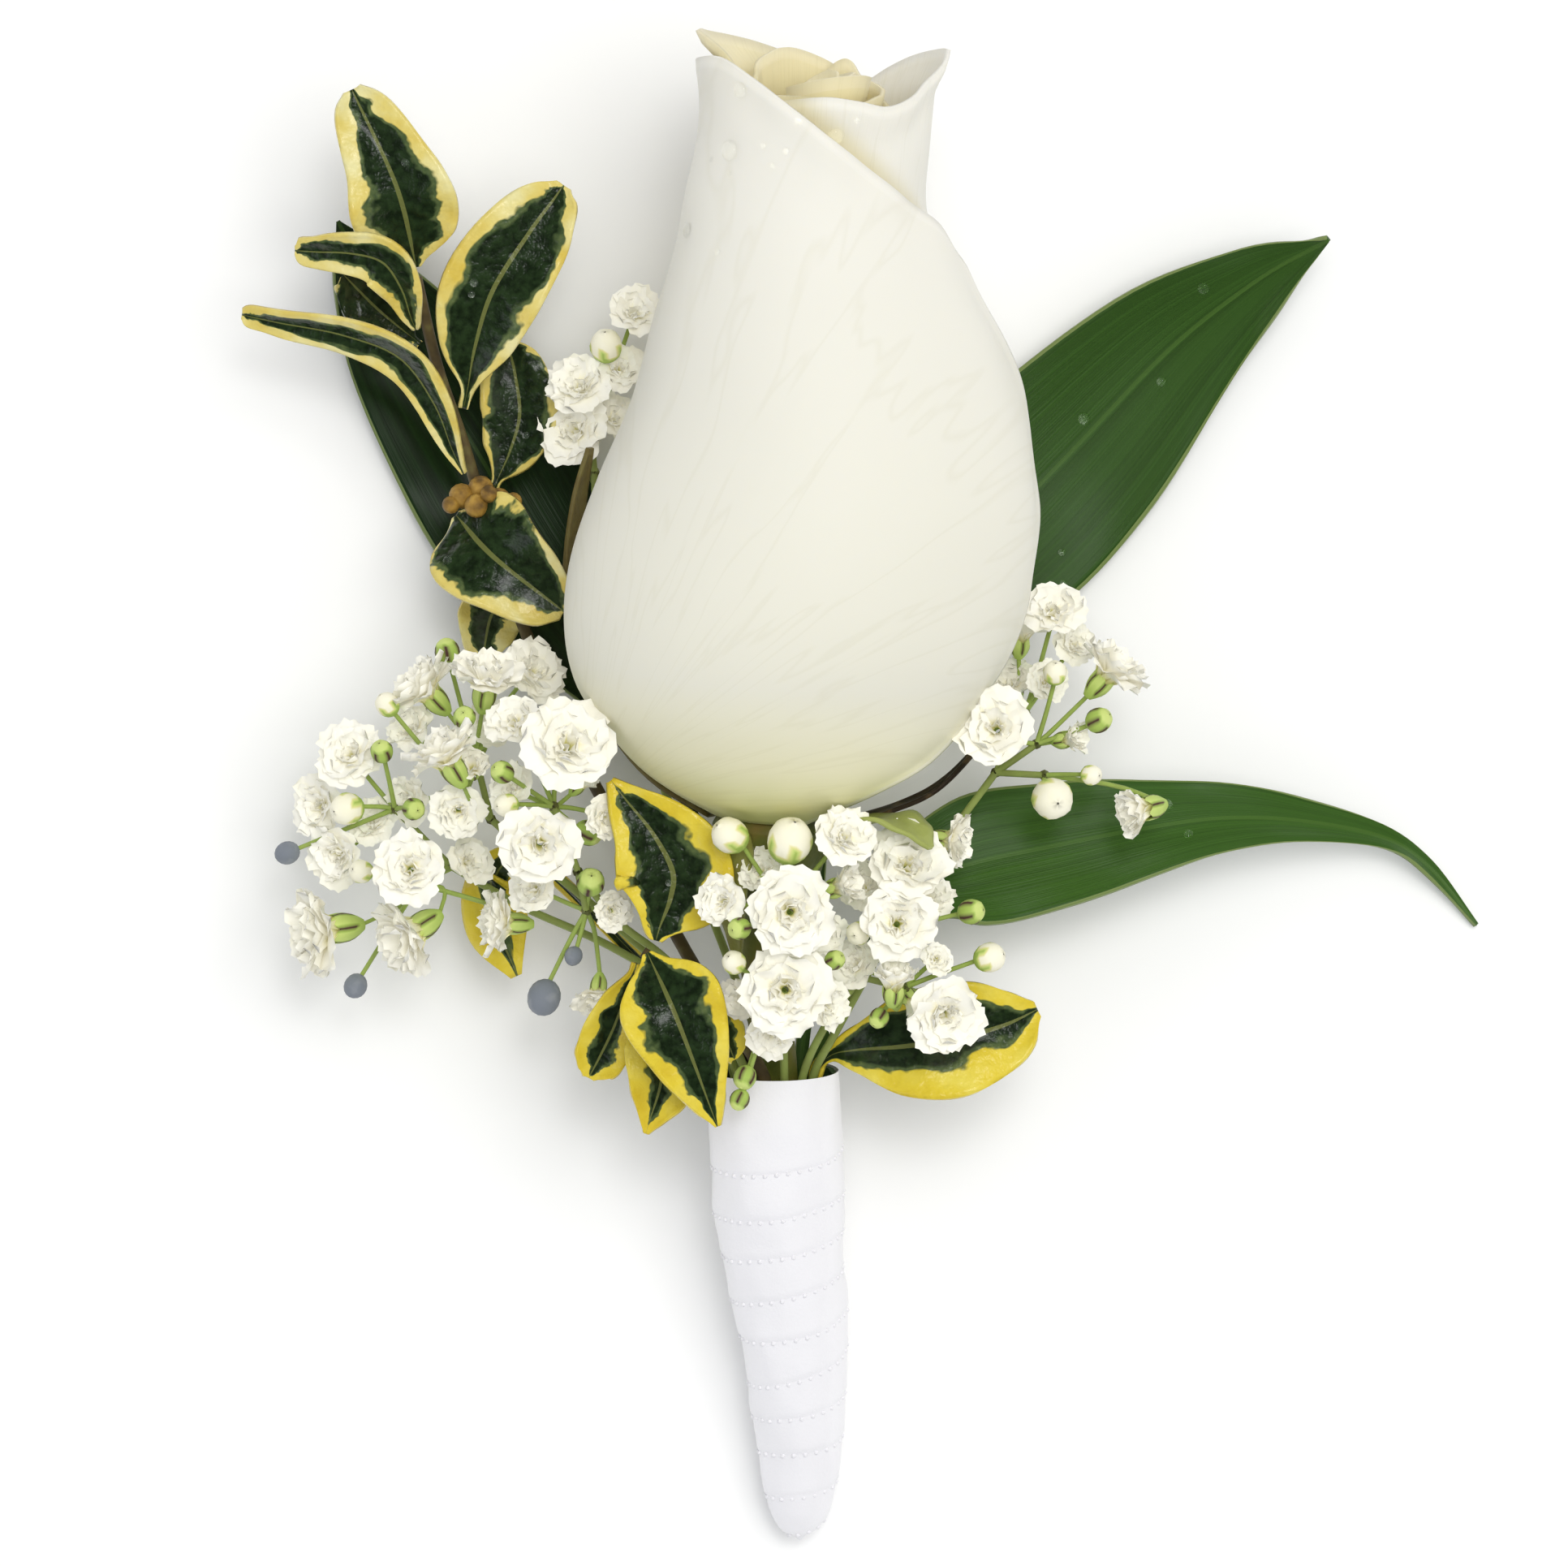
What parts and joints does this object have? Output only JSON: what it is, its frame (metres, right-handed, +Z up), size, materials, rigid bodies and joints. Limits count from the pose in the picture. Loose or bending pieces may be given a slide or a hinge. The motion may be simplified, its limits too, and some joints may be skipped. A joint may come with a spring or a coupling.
{
  "type": "boutonniere",
  "caption": "Buttonhole flower lying face up: a furled rosebud backed by leaves and baby's breath, its bound stems in a ribbon handle.",
  "frame": {"origin": "middle of the bounding box, at the surface that the boutonniere lies on", "axes": "+Z up from the surface, +Y from the handle's tip to the top of the rosebud, +X to the right seen from above"},
  "size_m": [0.0963, 0.1165, 0.0357],
  "materials": {
    "rose_petal": "creamy white petal, soft satin sheen with fine raised veins, greenish cream at the base",
    "rose_green": "olive green stem, hip and sepals, matt, brown along the edges",
    "ruscus_leaf": "dark green leathery leaf, half gloss, fine veins along its length",
    "box_leaf": "glossy leathery leaf, dark grey green with a jagged yellow margin",
    "box_stem": "thin brown twig, matt, with ochre buds",
    "babys_breath": "white ruffled flowers with lime green calyxes and thin green stems",
    "satin_ribbon": "white satin ribbon with dotted woven edges, soft gloss",
    "floral_tape": "green waxed crepe tape, matt"
  },
  "bodies": {
    "root": {"rose_petal_front": "rose_petal", "rose_petal_right": "rose_petal", "rose_petal_back": "rose_petal", "rose_petal_inner_1": "rose_petal", "rose_petal_inner_2": "rose_petal", "rose_petal_inner_3": "rose_petal", "rose_heart": "rose_petal", "rose_stem": "rose_green", "rose_sepal_right": "rose_green", "rose_sepal_dark_tip": "rose_green", "rose_sepal_left": "rose_green", "rose_sepal_under": "rose_green", "rose_sepal_front": "rose_green", "ruscus_leaf_left": "ruscus_leaf", "ruscus_leaf_upper_right": "ruscus_leaf", "ruscus_leaf_lower_right": "ruscus_leaf", "box_leaf_right": "box_leaf", "box_leaf_left": "box_leaf", "box_upper_leaf_top": "box_leaf", "box_upper_leaf_right": "box_leaf", "box_upper_leaf_curled": "box_leaf", "box_upper_leaf_edge_on": "box_leaf", "box_upper_leaf_inner": "box_leaf", "box_upper_leaf_low": "box_leaf", "box_upper_leaf_under": "box_leaf", "box_upper_leaf_behind": "box_leaf", "box_lower_leaf_up": "box_leaf", "box_lower_leaf_front": "box_leaf", "box_lower_leaf_left": "box_leaf", "box_lower_leaf_tip_down": "box_leaf", "box_lower_leaf_behind": "box_leaf", "box_upper_stem": "box_stem", "box_lower_stem": "box_stem", "babys_breath_right": "babys_breath", "babys_breath_lower_right": "babys_breath", "babys_breath_lower_middle": "babys_breath", "babys_breath_left_front": "babys_breath", "babys_breath_left_upper": "babys_breath", "babys_breath_left_outer": "babys_breath", "babys_breath_upper_left": "babys_breath", "ribbon_wrap": "satin_ribbon", "floral_tape": "floral_tape"}
  },
  "joints": []
}
